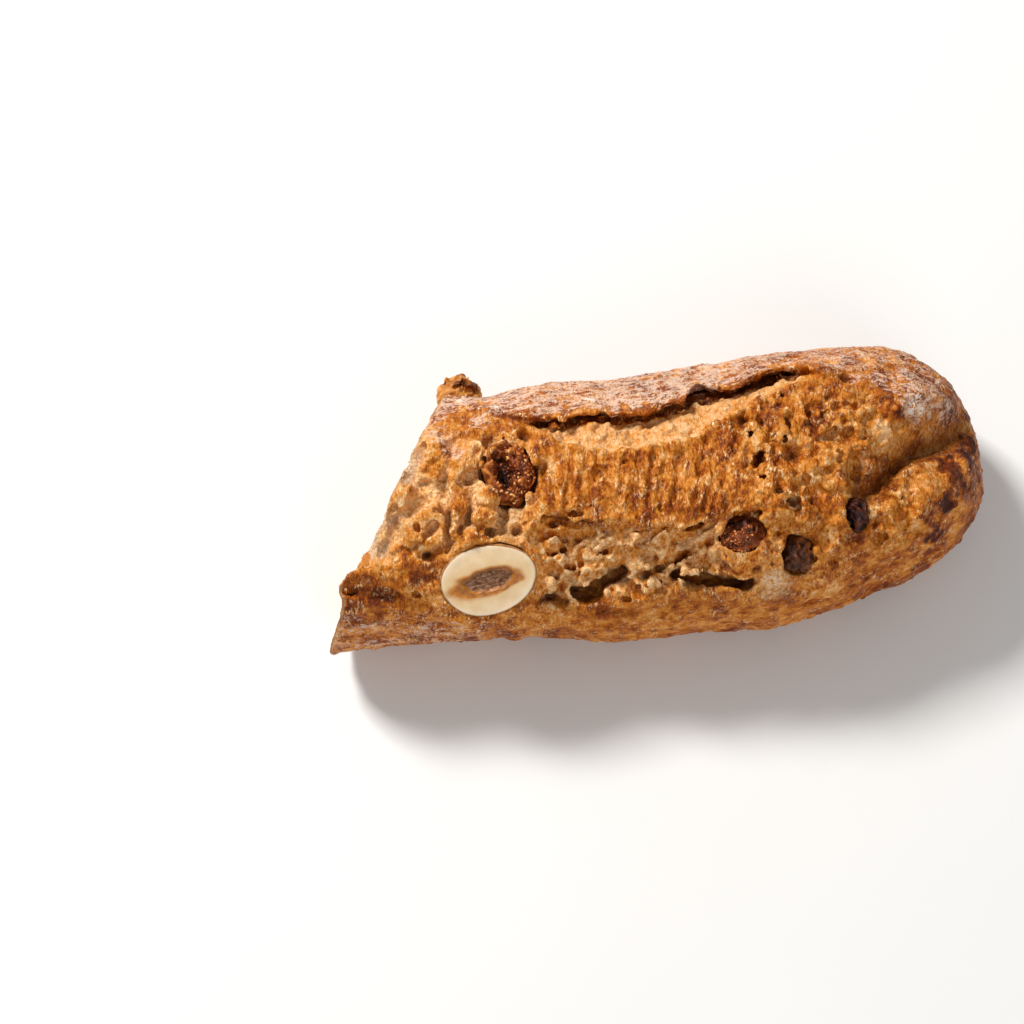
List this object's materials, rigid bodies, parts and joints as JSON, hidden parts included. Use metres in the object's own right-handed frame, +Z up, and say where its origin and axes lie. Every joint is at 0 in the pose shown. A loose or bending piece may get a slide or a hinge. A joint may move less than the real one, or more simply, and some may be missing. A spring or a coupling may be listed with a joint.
{
  "type": "fig and hazelnut baguette",
  "caption": "Rustic fig and hazelnut baguette, its left end cut off on the bias, with a torn ear, floury brown crust and fruit and a halved nut set in it.",
  "frame": {"origin": "centre of the underside of the loaf's box", "axes": "+X along the loaf towards its uncut round end, +Y towards the floury back edge with the torn ear, +Z up"},
  "size_m": [0.1488, 0.0632, 0.0463],
  "materials": {
    "crust": "baked crust, part floury and part glossy brown, pale crumb where torn or cut",
    "hazelnut": "cream cut nut with a brown hollow",
    "fig": "sticky dark dried fig with golden seeds",
    "raisin": "dark wrinkled dried fruit"
  },
  "bodies": {
    "root": {"loaf": "crust", "hazelnut_half": "hazelnut", "fig_top": "fig", "fig_side": "fig", "fig_back": "fig", "fig_cut_large": "fig", "fig_cut_small": "fig", "fig_cut_crust": "fig", "dark_fruit": "raisin", "raisin": "raisin"}
  },
  "joints": []
}
